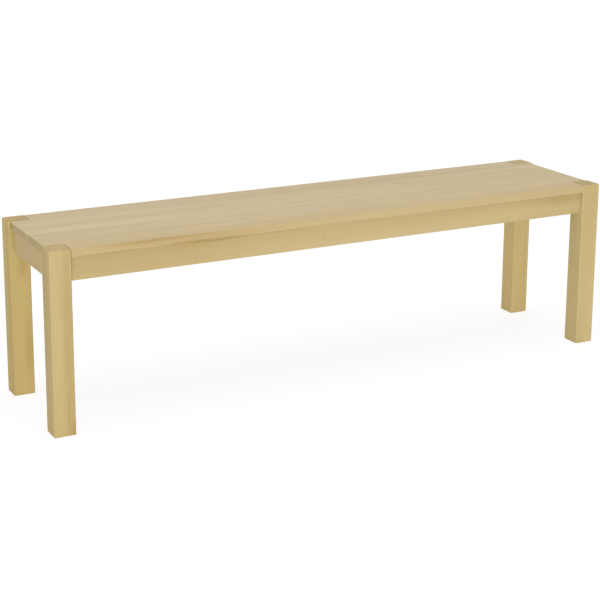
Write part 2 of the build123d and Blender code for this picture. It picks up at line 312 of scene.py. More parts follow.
def new_material(name):
    """An empty node material and its tree."""
    material = bpy.data.materials.new(name)
    material.use_nodes = True
    material.node_tree.nodes.clear()
    return material, material.node_tree


def finish_material(tree, shader):
    put(tree, "ShaderNodeOutputMaterial", {"Surface": shader.outputs[0]})


def toned(color, tone):
    """A colour times one or three shares, with alpha."""
    shares = tone if isinstance(tone, tuple) else (tone,) * 3
    return (*(part * share for part, share in zip(color, shares)), 1.0)


# Wood

GRAIN_TURN = {"X": (0, 0, 0), "Y": (0, 0, -pi / 2), "Z": (0, pi / 2, 0)}
GRAIN_AXIS = {"X": (1, 0, 0), "Y": (0, 1, 0), "Z": (0, 0, 1)}
SEED_STEP = 3.17  # metres along the noise from one piece to the next

# Cells per metre along and across the grain, detail and roughness of each noise, and the values
# between which its pattern comes in, where it isn't used as it is
PATTERNS = {
    "warp": (1.1, 7, 2.0, 0.5, None),
    "years": (0.5, 26, 1.0, 0.5, None),
    "vigour": (1.2, 34, 1.0, 0.5, (0.30, 0.65)),
    "streak": (1.6, 70, 4.0, 0.55, (0.38, 0.70)),
    "band": (0.9, 11, 1.0, 0.5, (0.32, 0.70)),
    "fibre": (22, 1500, 2.0, 0.5, None),
    "pores": (75, 2600, 0.0, 0.5, (0.66, 0.74)),
    "blush": (2.2, 17, 2.0, 0.5, (0.35, 0.68)),
}
WARP_REACH = 0.030  # metres that the growth rings wander
YEARS_REACH = 2.4  # rings that their spacing varies by
LATE_START = (0.30, 0.84)  # part of a ring in which its late wood darkens
LATE_STOP = (1.0, 0.90)  # and in which it pales again
DARKNESS = {"streak": 0.13, "band": 0.42, "fibre": 0.16, "pores": 0.18}
DARKEST = 1.6
BLUSH_TINT = (1.02, 0.985, 1.05, 1.0)
BLUSH_SHARE = 0.5
END_FACING = (0.55, 0.92)  # how squarely a face crosses the grain where it turns to end grain
RELIEF = {"fibre": 0.5, "pores": -0.6}
LATE_RELIEF = 0.3
WOOD_BUMP = {"Strength": 0.25, "Distance": 0.15 * MM}
REFRACTION = 1.5
DULLNESS = {"streak": 0.07, "pores": 0.06}
BARE_ROUGHNESS = 0.62
BARE_SHEEN = 0.25
MARK_CELLS = (9, 9, 9)
MARK_CORE = 0.25  # share of a mark's reach in which it is at full strength


def mark(tree, coords, wobble, place, reach, sway):
    """A soft mark: 1 in its core and 0 beyond its reach along each object axis."""
    moved = vector_calc(tree, "SUBTRACT", coords, place)
    inputs = {0: wobble, "Scale": sway}
    bend = put(tree, "ShaderNodeVectorMath", inputs, operation="SCALE").outputs[0]
    scaled = vector_calc(tree, "DIVIDE", vector_calc(tree, "ADD", moved, bend), reach)
    return step(tree, vector_calc(tree, "LENGTH", scaled, output=1), 1.0, MARK_CORE)


def wood_material(name, grain, color, seed, tone, pith, marks=(), sheen=None, end=None, figure=1.0):
    """Wood with growth rings, streaks and fibres along the grain, and browner end grain.

    The pith is where the growth rings have their centre, beside the grain axis. Each mark is
    (place, reach, strength, sway) in metres, and lightens where its strength is below 0; some
    marks are painted light and painted shade, not marks in the wood. Wood without a sheen is
    sanded and bare. End is the share of the tone that is left on end grain, where it isn't the
    usual one, and figure the share of the rings and streaks that shows.
    """
    wood = bpy.context.scene.bench_wood
    material, tree = new_material(name)
    where = put(tree, "ShaderNodeTexCoord").outputs
    coords = where["Object"]
    inputs = {"Vector": coords, "Rotation": GRAIN_TURN[grain]}
    along = put(tree, "ShaderNodeMapping", inputs).outputs[0]
    shifted = vector_calc(tree, "ADD", along, (seed * SEED_STEP, *pith))

    def pattern(kind, output="Fac"):
        """One of the patterns, longer along the grain than across it."""
        lengthwise, across, detail, roughness, span = PATTERNS[kind]
        cells = (lengthwise, across, across)
        made = noise(tree, shifted, cells, detail, roughness, output)
        return step(tree, made, *span) if span else made

    warp = centred(tree, pattern("warp", "Color"))
    bent = vector_calc(tree, "MULTIPLY_ADD", warp, (0, WARP_REACH, WARP_REACH), shifted)
    across = vector_calc(tree, "MULTIPLY", bent, (0, 1, 1))
    radius = vector_calc(tree, "LENGTH", across, output=1)
    turns = calc(tree, "DIVIDE", radius, wood.ring_spacing)
    turns = calc(tree, "ADD", turns, times(tree, pattern("years"), YEARS_REACH))
    part = calc(tree, "FRACT", turns)
    late = times(tree, step(tree, part, *LATE_START), step(tree, part, *LATE_STOP))
    late = times(tree, late, pattern("vigour"))
    layers = {kind: pattern(kind) for kind in DARKNESS}

    weights = dict(DARKNESS, streak=DARKNESS["streak"] * figure)
    dark = times(tree, late, wood.ring_strength * figure)
    dark = stacked(tree, dark, layers, weights)
    wobble = centred(tree, noise(tree, coords, MARK_CELLS, 2.0, output="Color"))
    # each mark darkens the wood, or lightens it; some are painted shade and painted light
    for place, reach, strength, sway in marks:
        spot = mark(tree, coords, wobble, place, reach, sway)
        dark = calc(tree, "MULTIPLY_ADD", spot, strength, dark)
    dark = calc(tree, "MINIMUM", calc(tree, "MAXIMUM", dark, 0.0), DARKEST)

    light = toned(color, tone)
    body = blend_colors(tree, dark, light, toned(light, tuple(wood.deep_share)))
    body.node.clamp_factor = False
    blush = times(tree, pattern("blush"), BLUSH_SHARE)
    body = blend_colors(tree, blush, body, BLUSH_TINT, mode="MULTIPLY")
    facing = vector_calc(tree, "DOT_PRODUCT", where["Normal"], GRAIN_AXIS[grain], output=1)
    sawn = step(tree, calc(tree, "ABSOLUTE", facing), *END_FACING)
    body = blend_colors(tree, sawn, body, toned(end or wood.end_share, 1.0), mode="MULTIPLY")

    height = stacked(tree, times(tree, late, LATE_RELIEF), layers, RELIEF)
    bump = put(tree, "ShaderNodeBump", {"Height": height, **WOOD_BUMP})
    roughness = BARE_ROUGHNESS if sheen is None else wood.lacquer_roughness
    finish_material(tree, put(tree, "ShaderNodeBsdfPrincipled", {
        "Base Color": body, "Roughness": stacked(tree, roughness, layers, DULLNESS),
        "Normal": bump.outputs[0], "IOR": REFRACTION,
        "Specular IOR Level": BARE_SHEEN if sheen is None else sheen}))
    return material


# Steel

CLOUD_CELLS = (240, 240, 240)
BRUSHED_CELLS = (2600, 2600, 900)
CLOUD_SHARE = 0.5
BRUSHED_SHARE = 0.25
STEEL_TONES = (0.82, 1.08)  # shares of the colour in the darkest and the lightest places
STEEL_ROUGHNESS = 0.24
RUBBED_ROUGHNESS = 0.22  # added where the plating is dull
STEEL_BUMP = {"Strength": 0.12, "Distance": 0.05 * MM}


def steel_material(name, color):
    """Zinc plating: fine brushed streaks, faint clouding and duller rubbed patches."""
    material, tree = new_material(name)
    coords = put(tree, "ShaderNodeTexCoord").outputs["Object"]
    cloud = noise(tree, coords, CLOUD_CELLS, 3.0)
    grit = noise(tree, coords, BRUSHED_CELLS, 1.0)
    light = calc(tree, "MULTIPLY_ADD", cloud, CLOUD_SHARE, times(tree, grit, BRUSHED_SHARE))
    body = blend_colors(tree, light, *(toned(color, tone) for tone in STEEL_TONES))
    roughness = calc(tree, "MULTIPLY_ADD", cloud, RUBBED_ROUGHNESS, STEEL_ROUGHNESS)
    bump = put(tree, "ShaderNodeBump", {"Height": grit, **STEEL_BUMP})
    finish_material(tree, put(tree, "ShaderNodeBsdfPrincipled", {
        "Base Color": body, "Metallic": 1.0, "Roughness": roughness,
        "Normal": bump.outputs[0]}))
    return material


# Helpers for pieces

SAME_POINT = 0.001 * MM
SHARP_WOOD = radians(35)
SHARP_STEEL = radians(40)
EDGE_SEGMENTS = 4


def add_object(name, mesh, material):
    """A new object at the origin with one material."""
    piece = bpy.data.objects.new(name, mesh)
    bpy.context.scene.collection.objects.link(piece)
    mesh.materials.clear()
    mesh.materials.append(material)
    return piece


def object_from(name, grid, material):
    """A new object made of a grid of points and faces, which is used up."""
    mesh = bpy.data.meshes.new(name)
    grid.to_mesh(mesh)
    grid.free()
    return add_object(name, mesh, material)


def settle(piece, slot, *nodes):
    """Make a finished piece ride on the bench in place of the solids that it stands for."""
    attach(piece, ROOT)
    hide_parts(*nodes)


def dress(node, material):
    """Give a solid from the frame its material."""
    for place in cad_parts[node].material_slots:
        place.material = material


def baked(piece):
    """Turn a piece's modifiers into plain mesh."""
    bpy.context.view_layer.update()
    graph = bpy.context.evaluated_depsgraph_get()
    mesh = bpy.data.meshes.new_from_object(
        piece.evaluated_get(graph), preserve_all_data_layers=True, depsgraph=graph)
    piece.modifiers.clear()
    piece.data = mesh
    return piece


def shade(piece, sharp):
    """Shade a piece smoothly, but for the edges that turn by more than an angle."""
    grid = bmesh.new()
    grid.from_mesh(piece.data)
    for face in grid.faces:
        face.smooth = True
    for edge in grid.edges:
        if len(edge.link_faces) == 2 and edge.calc_face_angle(0.0) > sharp:
            edge.smooth = False
    grid.to_mesh(piece.data)
    grid.free()


def evened(piece):
    """Shade roundings smoothly while the flats beside them stay flat."""
    shade(piece, SHARP_WOOD)
    weighting = piece.modifiers.new("flat faces", "WEIGHTED_NORMAL")
    weighting.keep_sharp = True
    weighting.weight = 100
    return baked(piece)


def add_skin(grid, rings):
    """Points and faces of a closed skin over rings, counter-clockwise ones from the lowest up."""
    rows = [[grid.verts.new(point) for point in ring] for ring in rings]
    grid.faces.new(rows[0][::-1])
    grid.faces.new(rows[-1])
    for lower, upper in zip(rows, rows[1:]):
        for i, point in enumerate(lower):
            j = (i + 1) % len(lower)
            grid.faces.new((point, lower[j], upper[j], upper[i]))
    return rows


def slab(name, outline, levels, radius, material):
    """A board cut to a plan outline, its upper and lower edges rounded by the given radius.

    The outline is a list of (x, y, upper share, lower share), counter-clockwise seen from above,
    where the shares say how much of the radius the edge to the next point gets.
    """
    grid = bmesh.new()
    weight = grid.edges.layers.float.new("bevel_weight_edge")
    lower, upper = add_skin(grid, [[(x, y, z) for x, y, _, _ in outline] for z in levels])
    for i, (_, _, upper_share, lower_share) in enumerate(outline):
        j = (i + 1) % len(outline)
        grid.edges.get((upper[i], upper[j]))[weight] = upper_share
        grid.edges.get((lower[i], lower[j]))[weight] = lower_share
    piece = object_from(name, grid, material)
    bevel = piece.modifiers.new("rounding", "BEVEL")
    bevel.limit_method = "WEIGHT"
    bevel.width = radius
    bevel.segments = EDGE_SEGMENTS
    return evened(baked(piece))


def quarter_turn(steps):
    """Angles from 0 to a quarter turn in even steps."""
    return [k / steps * pi / 2 for k in range(steps + 1)]


def inward(point):
    """Signs that point from a corner of the bench to its middle."""
    return tuple(-1 if value > 0 else 1 for value in point[:2])


def corner_of(box, signs):
    """The upright corner of a box that lies on the side of the signs."""
    low, high = box
    return [(high if sign > 0 else low)[k] for k, sign in enumerate(signs)]


# Marks in the wood, each (place, reach, strength, sway), with painted light and painted shade among
# them, as the comments beside those entries say. The place and the sizes are in millimetres, and
# the place is measured from the lowest corner of the node's box.
MARKS_AND_PAINTED_SHADING = {
    "leg_front_left": [
        ((44, 0, 240), (20, 30, 420), 0.40, 4),
        ((38.5, 0, 50), (1.6, 30, 90), 0.75, 1),
        ((33.55, 0, 40), (1.2, 30, 60), 0.35, 1),
        ((55, 0, 12), (16, 30, 45), 0.55, 4),
        ((12.1, 0, 250), (18, 30, 340), -0.12, 4),
        # painted light: lightens the leg's right front arris beside the apron and the seat edge,
        # where shade falls in the corner
        ((55, 0, 405), (7, 12, 45), -0.60, 1),
    ],
    "leg_front_right": [
        ((16.5, 0, 200), (20, 30, 220), -0.12, 4),
        # painted light: lightens the leg's inner left face, which is shaded under the bench
        ((0, 27.5, 250), (4, 80, 500), -0.50, 1),
    ],
    "leg_back_left": [
        ((44, 0, 130), (20, 30, 120), 0.40, 6),
        ((33, 0, 345), (17, 30, 50), 0.40, 6),
        ((20.9, 0, 325), (1.8, 30, 20), 0.45, 1),
        ((34.1, 0, 325), (1.8, 30, 20), 0.45, 1),
        ((0, 27.5, 200), (4, 80, 400), 0.40, 1),
    ],
    "leg_back_right": [
        ((42.35, 0, 200), (2.2, 30, 260), 0.60, 1),
        # painted light: lightens the leg's inner left face, which is shaded under the bench
        ((0, 27.5, 150), (4, 80, 320), -0.30, 1),
    ],
    "seat_stave_1": [
        ((694, -4, 10), (1300, 12, 30), 0.22, 2),
        ((34, -4, 10), (120, 12, 30), 0.20, 2),
        ((274, -4, 10), (400, 12, 30), 0.42, 2),
        ((259, 0, 17), (220, 6, 5), 0.50, 6),
        # painted shade: a dark wavy line along the lower edge of the seat's front, where the seat
        # overhangs the apron
        ((394, 0, 1), (160, 10, 3.4), 0.75, 8),
        ((134, 0, 1), (130, 10, 2.2), 0.45, 5),
        ((844, 0, 9), (350, 6, 7), -0.20, 3),
    ],
    "seat_stave_3": [((174, 36.6, 20), (360, 30, 30), -0.45, 10)],
    "seat_stave_4": [
        ((1099, 36.4, 20), (40, 10, 20), 0.60, 10),
        ((244, 36.4, 20), (420, 50, 30), -0.20, 6),
    ],
    "seat_stave_5": [
        # painted shade where the end of the seat meets the back left leg
        ((0, 16.2, 9), (10, 9, 12), 1.10, 1),
        ((394, 36.2, 20), (600, 50, 30), -0.24, 6),
    ],
    "apron_front": [
        ((165, 0, 30), (420, 30, 60), 0.26, 6),
        # painted shade: dark wavy lines along the top of the apron, under the seat's overhang
        ((365, 0, 55), (130, 20, 3.6), 0.70, 7),
        ((315, 0, 47), (60, 20, 1.6), 0.40, 8),
        ((105, 0, 57), (120, 20, 1.6), 0.35, 4),
        ((535, 0, 57), (160, 20, 1.4), 0.60, 4),
        # painted shade: a darker upper zone at the right end of the apron, under the seat's
        # overhang
        ((1425, 0, 45), (100, 20, 22), 0.30, 6),
        ((675, 0, 25), (6, 20, 6), 0.45, 2),
        ((625, 0, 18), (5, 20, 4), 0.35, 2),
        ((1065, 0, 30), (460, 30, 60), -0.12, 4),
    ],
}


def marks_and_shading_of(node):
    """The marks of a piece in metres, painted light and shade among them, where they lie in the
    bench.
    """
    low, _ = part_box(node)
    marks = []
    for shift, reach, strength, sway in MARKS_AND_PAINTED_SHADING.get(node, ()):
        place = tuple(start + part * MM for start, part in zip(low, shift))
        marks.append((place, tuple(part * MM for part in reach), strength, sway * MM))
    return marks


# Legs

# Seed, tone and share of the tone on the end grain. The back legs' tones are lighter in part as
# painted light, lifting the shade that falls on them under the seat.
LEG_LOOKS = {
    ("front", "left"): (1, (0.942, 0.928, 0.864), (0.99, 0.96, 0.97)),
    ("front", "right"): (2, (1.015, 1.027, 0.97), (0.87, 0.85, 0.94)),
    ("back", "left"): (3, (1.025, 1.015, 0.865), (0.86, 0.84, 0.87)),
    ("back", "right"): (4, (1.075, 1.055, 0.930), (0.83, 0.80, 0.90)),
}
LEG_PITH = (0.05, 0.06)  # metres from the axis of a leg to the centre of its growth rings
ARRIS_STEPS = 5
END_STEPS = 3


def leg_ring(box, inset, radius, flat_corner, flat, is_cut):
    """One level of a leg: a square with rounded corners, or with one corner cut off flat.

    Each level has the two points where the flat starts and ends, so that the levels join up.
    """
    points = []
    for number, signs in enumerate(((-1, -1), (1, -1), (1, 1), (-1, 1))):
        x, y = (value - sign * inset for value, sign in zip(corner_of(box, signs), signs))
        arc = []
        for turn in quarter_turn(ARRIS_STEPS):
            angle = pi + number * pi / 2 + turn
            arc.append((x + radius * (cos(angle) - signs[0]), y + radius * (sin(angle) - signs[1])))
        if signs == flat_corner:
            first, last = (x - signs[0] * flat, y), (x, y - signs[1] * flat)
            if signs[0] == signs[1]:
                first, last = last, first
            if is_cut:
                shares = [(k + 1) / (ARRIS_STEPS + 2) for k in range(ARRIS_STEPS + 1)]
                arc = [[a + (b - a) * share for a, b in zip(first, last)] for share in shares]
            arc = [first, *arc, last]
        points += arc
    return points


def make_leg(depth, side, material):
    """One leg with rounded arrises and ends and the flat for its two bolts."""
    shape = bpy.context.scene.bench_shape
    node = f"leg_{depth}_{side}"
    low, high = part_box(node)
    flat_low, flat_high = (corner[2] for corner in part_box(f"apron_{depth}"))
    rounding = [(shape.leg_end * (1 - cos(turn)), shape.leg_end * (1 - sin(turn)))
                for turn in quarter_turn(END_STEPS)]
    levels = [(low[2] + rise, inset, False) for rise, inset in rounding]
    levels += [(flat_low, 0, False), (flat_low, 0, True), (flat_high, 0, True),
               (flat_high, 0, False)]
    levels += [(high[2] - rise, inset, False) for rise, inset in rounding[::-1]]
    rings = []
    for z, inset, is_cut in levels:
        ring = leg_ring((low, high), inset, shape.leg_arris - inset, inward(low),
                        shape.bolt_flat, is_cut)
        rings.append([(x, y, z) for x, y in ring])
    grid = bmesh.new()
    add_skin(grid, rings)
    bmesh.ops.remove_doubles(grid, verts=grid.verts, dist=SAME_POINT)
    settle(evened(object_from(f"{node}_post", grid, material)), "leg_wood", node)


class BENCH_OT_legs(bpy.types.Operator):
    """Make the four legs"""

    bl_idname = "bench.legs"
    bl_label = "Legs"

    def execute(self, context):
        wood = context.scene.bench_wood
        for (depth, side), (seed, tone, end) in LEG_LOOKS.items():
            low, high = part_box(f"leg_{depth}_{side}")
            pith = (-(low[1] + high[1]) / 2 - LEG_PITH[0], (low[0] + high[0]) / 2 - LEG_PITH[1])
            material = wood_material(
                f"leg_wood_{depth}_{side}", "Z", wood.frame_color, seed, tone, pith,
                marks_and_shading_of(f"leg_{depth}_{side}"), wood.frame_sheen, end, wood.frame_figure)
            make_leg(depth, side, material)
        return {"FINISHED"}


# Seat

# Seed, tone and pith, for the staves from the front to the back
STAVE_LOOKS = (
    (11, (1.050, 1.030, 0.985), (0.210, -0.25)),
    (12, (0.99, 0.975, 0.98), (0.05, 0.12)),
    (13, (1.035, 1.050, 1.060), (-0.08, -0.15)),
    (14, (1.00, 1.01, 1.03), (-0.04, 0.10)),
    (15, (0.985, 0.980, 1.010), (-0.22, -0.14)),
)
NOTCH_STEPS = 4


def notch(node, depth, side):
    """Outline of a stave's notch round a leg, from the stave's long side to its end."""
    shape = bpy.context.scene.bench_shape
    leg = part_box(f"leg_{depth}_{side}")
    turns = inward(leg[0])
    x, y = (value + turn * shape.seat_gap for value, turn in zip(corner_of(leg, turns), turns))
    edge_x, edge_y = corner_of(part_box(node), [-turn for turn in turns])
    radius = shape.leg_arris + shape.seat_gap
    arc = [(x - turns[0] * radius * (1 - cos(angle)), y - turns[1] * radius * (1 - sin(angle)))
           for angle in quarter_turn(NOTCH_STEPS)]
    return [(x, edge_y), *arc, (edge_x, y)]


def with_shares(points, share, last):
    """Outline points whose edges get a share of the rounding, and the last edge its own."""
    return [(x, y, share, share) for x, y in points[:-1]] + [(*points[-1], last, last)]


def long_side(node, depth, sides):
    """A stave's long side at the front or the back, from one end to the other.

    Only the outermost staves have notches. The edges that come after this side and after each
    notch are rounded in full, and those of the notches are just eased.
    """
    shape = bpy.context.scene.bench_shape
    if node == STAVES[0 if depth == "front" else -1]:
        ease = shape.cut_ease / shape.seat_edge
        first, last = (notch(node, depth, side) for side in sides)
        return with_shares(first[::-1], ease, 1.0) + with_shares(last, ease, 1.0)
    turn = -1 if depth == "front" else 1
    ends = [corner_of(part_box(node), (-1 if side == "left" else 1, turn)) for side in sides]
    return with_shares(ends, 0.0, 1.0)


class BENCH_OT_seat(bpy.types.Operator):
    """Make the seat board's staves, notched round the legs"""

    bl_idname = "bench.seat"
    bl_label = "Seat"

    def execute(self, context):
        wood = context.scene.bench_wood
        for node, (seed, tone, pith) in zip(STAVES, STAVE_LOOKS):
            material = wood_material(
                f"{node}_wood", "X", wood.seat_color, seed, tone, pith, marks_and_shading_of(node),
                wood.seat_sheen, wood.seat_end_share, wood.seat_figure)
            outline = long_side(node, "front", SIDES) + long_side(node, "back", SIDES[::-1])
            levels = [corner[2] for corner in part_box(node)]
            piece = slab(f"{node}_board", outline, levels, context.scene.bench_shape.seat_edge,
                         material)
            settle(piece, "seat_wood", node)
        return {"FINISHED"}


# Aprons

# Grain, seed, tone and pith
APRON_LOOKS = {
    "front": ("X", 21, 1.0, (0.22, -0.47)),
    "back": ("X", 22, 0.97, (-0.30, -0.35)),
    "left": ("Y", 23, (0.99, 0.98, 0.97), (0.70, -0.50)),
    "right": ("Y", 24, 0.98, (-0.72, -0.36)),
}


def reversed_outline(outline):
    """The same outline run the other way, each edge keeping its shares."""
    turned = outline[::-1]
    return [(x, y, *after[2:]) for (x, y, _, _), after in zip(turned, turned[1:] + turned[:1])]


def apron_outline(place):
    """Plan of an apron with the two saw kerfs for the brackets in its inner face."""
    shape = bpy.context.scene.bench_shape
    is_long = place in DEPTHS
    along, across = (0, 1) if is_long else (1, 0)
    low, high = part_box(f"apron_{place}")
    ease = shape.cut_ease / shape.apron_edge
    inner, outer, inwards = high[across], low[across], 1
    if place in ("back", "right"):
        inner, outer, inwards = outer, inner, -1
    floor = inner - inwards * shape.kerf_depth
    outline = [(low[along], inner, ease, 1.0)]
    for other, turn in zip(SIDES if is_long else DEPTHS, (1, -1)):
        corner = f"{place}_{other}" if is_long else f"{other}_{place}"
        bracket_low, bracket_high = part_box(f"corner_bracket_{corner}")
        flange = bracket_high if turn > 0 else bracket_low
        far = flange[along] + turn * shape.kerf_play
        start, end = sorted((far - turn * shape.kerf_width, far))
        outline += [(start, inner, 0, 0), (start, floor, 0, 0), (end, floor, 0, 0),
                    (end, inner, ease, 1.0)]
    outline += [(high[along], inner, 0, 0), (high[along], outer, ease, 1.0),
                (low[along], outer, 0, 0)]
    if not is_long:
        outline = [(y, x, upper, lower) for x, y, upper, lower in outline]
    return reversed_outline(outline) if place in ("front", "right") else outline


class BENCH_OT_aprons(bpy.types.Operator):
    """Make the four aprons with the saw kerfs for the corner brackets"""

    bl_idname = "bench.aprons"
    bl_label = "Aprons"

    def execute(self, context):
        wood = context.scene.bench_wood
        for place, (grain, seed, tone, pith) in APRON_LOOKS.items():
            node = f"apron_{place}"
            material = wood_material(
                f"{node}_wood", grain, wood.frame_color, seed, tone, pith, marks_and_shading_of(node),
                wood.frame_sheen, figure=wood.frame_figure)
            levels = [corner[2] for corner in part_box(node)]
            piece = slab(f"{node}_rail", apron_outline(place), levels,
                         context.scene.bench_shape.apron_edge, material)
            settle(piece, "apron_wood", node)
        return {"FINISHED"}


# Pieces that keep their solids

FIRST_CLEAT_SEED = 40
CLEAT_TONES = (0.94, 0.97, 1.00)


class BENCH_OT_inner_wood(bpy.types.Operator):
    """Give the cross rail, cleats and dowels their wood"""

    bl_idname = "bench.inner_wood"
    bl_label = "Inner wood"

    def execute(self, context):
        color = context.scene.bench_wood.inner_color
        dress("cross_rail", wood_material("cross_rail_wood", "Y", color, 31, 1.04, (0.04, -0.37)))
        for number, node in enumerate(CLEATS):
            grain = "Y" if node.startswith("cleat_end") else "X"
            tone = CLEAT_TONES[number % len(CLEAT_TONES)]
            dress(node, wood_material(
                f"{node}_wood", grain, color, FIRST_CLEAT_SEED + number, tone, (0.10, -0.40)))
        beech = wood_material("dowel_wood", "X", color, 60, (1.02, 0.95, 0.95), (0.0, 0.0))
        for node in ("leg_dowels", "cross_rail_dowels"):
            dress(node, beech)
        return {"FINISHED"}


class BENCH_OT_brackets(bpy.types.Operator):
    """Give the corner brackets their zinc plating"""

    bl_idname = "bench.brackets"
    bl_label = "Brackets"

    def execute(self, context):
        zinc = steel_material("bracket_zinc", context.scene.bench_steel.zinc_color)
        for node in BRACKETS:
            dress(node, zinc)
        return {"FINISHED"}


# Bodies of the fasteners, each with its axis along Z

RIDGE_SHARE = 0.42  # radius of the thread ridge, as a share of the pitch
POINT_SHARE = 0.8  # chamfer at a bolt's end, as a share of the pitch
TAPER_SHARE = 1.5  # how much shorter a bolt is in the wood, as a share of its radius
RIM_SHARE = 0.2  # chamfer of a washer, as a share of its thickness
NUT_FACE = 0.96  # radius of a nut's round face, as a share of half its width across flats
NUT_SLOPE = 1 / tan(radians(30))
OVERLAP = 0.2  # how far the chamfering cones reach past a nut, as a share of the same
PAN_LAYERS = ((0.45, 1.0), (0.30, 0.92), (0.17, 0.78), (0.08, 0.60))  # rise and upper radius
SLOT_SHARE = 0.26  # width of a slot in a cross recess, as a share of its length
PAN_RECESS = 0.62  # depth of a pan head's recess, as a share of the head's height
SUNK_RECESS = (1.1, 0.75)  # recess of a countersunk head, as shares of its radius and depth
WASHER_PLAY = 0.5 * MM
NUT_PLAY = 0.05 * MM
ROUND_SIDES = 24
WASHER_SIDES = 40
HOLE_SIDES = 28
CONE_SIDES = 48
SHANK_SIDES = 16
SUNK_SIDES = 32
THREAD_STEPS = 20


def moved_up(tree, body, level):
    """The body with its origin at a level on the axis."""
    lift = put(tree, "ShaderNodeCombineXYZ", {"Z": level}).outputs[0]
    inputs = {"Geometry": body.outputs[0], "Translation": lift}
    return put(tree, "GeometryNodeTransform", inputs).outputs[0]


def frustum(tree, bottom, top, height, level, sides=ROUND_SIDES):
    """A closed turned piece from one radius to another, its foot at a level on the axis."""
    return moved_up(tree, put(tree, "GeometryNodeMeshCone", {
        "Vertices": sides, "Radius Bottom": bottom, "Radius Top": top, "Depth": height}), level)


def joined(tree, *parts):
    """One geometry of several."""
    node = put(tree, "GeometryNodeJoinGeometry")
    for part in parts:
        tree.links.new(part, node.inputs[0])
    return node.outputs[0]


def combined(tree, operation, *parts, first=None):
    """The union or the intersection of several bodies, or the first body less the others."""
    inputs = {} if first is None else {"Mesh 1": first}
    node = put(tree, "GeometryNodeMeshBoolean", inputs, operation=operation, solver="EXACT")
    for part in parts:
        tree.links.new(part, node.inputs["Mesh 2"])
    return node.outputs["Mesh"]


def drilled(tree, body, radius, height):
    """A body of some height with a hole along its axis."""
    drill = frustum(tree, radius, radius, times(tree, height, 3.0), times(tree, height, -1.0),
                    HOLE_SIDES)
    return combined(tree, "DIFFERENCE", drill, first=body)


def recessed(tree, body, length, depth, level):
    """A body with a cross recess, two slots at right angles, from a level down."""
    thin, tall = times(tree, length, SLOT_SHARE), times(tree, depth, 2.0)
    slots = []
    for across, along in ((length, thin), (thin, length)):
        size = put(tree, "ShaderNodeCombineXYZ", {"X": across, "Y": along, "Z": tall}).outputs[0]
        slots.append(moved_up(tree, put(tree, "GeometryNodeMeshCube", {"Size": size}), level))
    return combined(tree, "DIFFERENCE", *slots, first=body)


def thread(tree, radius, pitch, length, level):
    """A thread ridge wound round the axis."""
    spiral = put(tree, "GeometryNodeCurveSpiral", {
        "Resolution": THREAD_STEPS, "Rotations": calc(tree, "DIVIDE", length, pitch),
        "Start Radius": radius, "End Radius": radius, "Height": length})
    profile = put(tree, "GeometryNodeCurvePrimitiveCircle", {
        "Resolution": 4, "Radius": times(tree, pitch, RIDGE_SHARE)})
    return moved_up(tree, put(tree, "GeometryNodeCurveToMesh", {
        "Curve": spiral.outputs[0], "Profile Curve": profile.outputs[0], "Fill Caps": True}), level)


def hanger_bolt(tree, radius, pitch, free, wood):
    """A threaded free end over a plain part that stands in the wood."""
    core = calc(tree, "MULTIPLY_ADD", pitch, -RIDGE_SHARE, radius)
    ease = times(tree, pitch, POINT_SHARE)
    straight = less(tree, free, ease)
    taper = times(tree, radius, TAPER_SHARE)
    shank = frustum(tree, core, core, straight, 0.0)
    point = frustum(tree, core, less(tree, core, ease), ease, straight)
    inside = frustum(tree, core, core, less(tree, wood, taper), less(tree, taper, wood))
    ridge = thread(tree, core, pitch, less(tree, straight, pitch), pitch)
    return joined(tree, shank, point, inside, ridge)


def washer(tree, radius, thickness, hole):
    """A washer with a chamfer round its upper face."""
    ease = times(tree, thickness, RIM_SHARE)
    body = less(tree, thickness, ease)
    disc = frustum(tree, radius, radius, body, 0.0, WASHER_SIDES)
    rim = frustum(tree, radius, less(tree, radius, ease), ease, body, WASHER_SIDES)
    return drilled(tree, combined(tree, "UNION", disc, rim), hole, thickness)


def nut(tree, flat, height, hole):
    """A hexagon nut, chamfered by a cone at each face."""
    corner = calc(tree, "DIVIDE", flat, cos(pi / 6))
    hexagon = frustum(tree, corner, corner, height, 0.0, 6)
    deep = times(tree, height, 2.0)
    over = times(tree, flat, OVERLAP)
    narrow = times(tree, flat, NUT_FACE - OVERLAP * NUT_SLOPE)
    wide = calc(tree, "MULTIPLY_ADD", deep, NUT_SLOPE, narrow)
    upper = frustum(tree, wide, narrow, deep, less(tree, over, height), CONE_SIDES)
    lower = frustum(tree, narrow, wide, deep, times(tree, over, -1.0), CONE_SIDES)
    body = combined(tree, "INTERSECT", hexagon, upper, lower)
    inputs = {"Geometry": drilled(tree, body, hole, height), "Distance": SAME_POINT}
    return put(tree, "GeometryNodeMergeByDistance", inputs).outputs[0]


def pan_head_screw(tree, head, tall, shank, length):
    """A screw with a domed head in layers, over a plain shank."""
    layers = []
    radius, level = head, 0.0
    for rise, share in PAN_LAYERS:
        height, upper = times(tree, tall, rise), times(tree, head, share)
        layers.append(frustum(tree, radius, upper, height, level))
        radius, level = upper, calc(tree, "ADD", height, level)
    domed = combined(tree, "UNION", *layers)
    body = recessed(tree, domed, head, times(tree, tall, PAN_RECESS), tall)
    stem = frustum(tree, shank, shank, length, times(tree, length, -1.0), SHANK_SIDES)
    return joined(tree, body, stem)


def countersunk_screw(tree, head, deep, shank, length):
    """A screw whose conical head ends flat at the origin."""
    cone = frustum(tree, shank, head, deep, times(tree, deep, -1.0), SUNK_SIDES)
    recess = [times(tree, size, share) for size, share in zip((head, deep), SUNK_RECESS)]
    body = recessed(tree, cone, *recess, 0.0)
    stem = frustum(tree, shank, shank, less(tree, length, deep), times(tree, length, -1.0),
                   SHANK_SIDES)
    return joined(tree, body, stem)


# Fasteners in their places

# Turn of the first fastener round its axis in radians, and what each further one adds
BOLT_SPIN = (0.4, 0.7)
STACK_SPIN = (0.0, 0.25)
SCREW_SPIN = (0.3, 1.1)


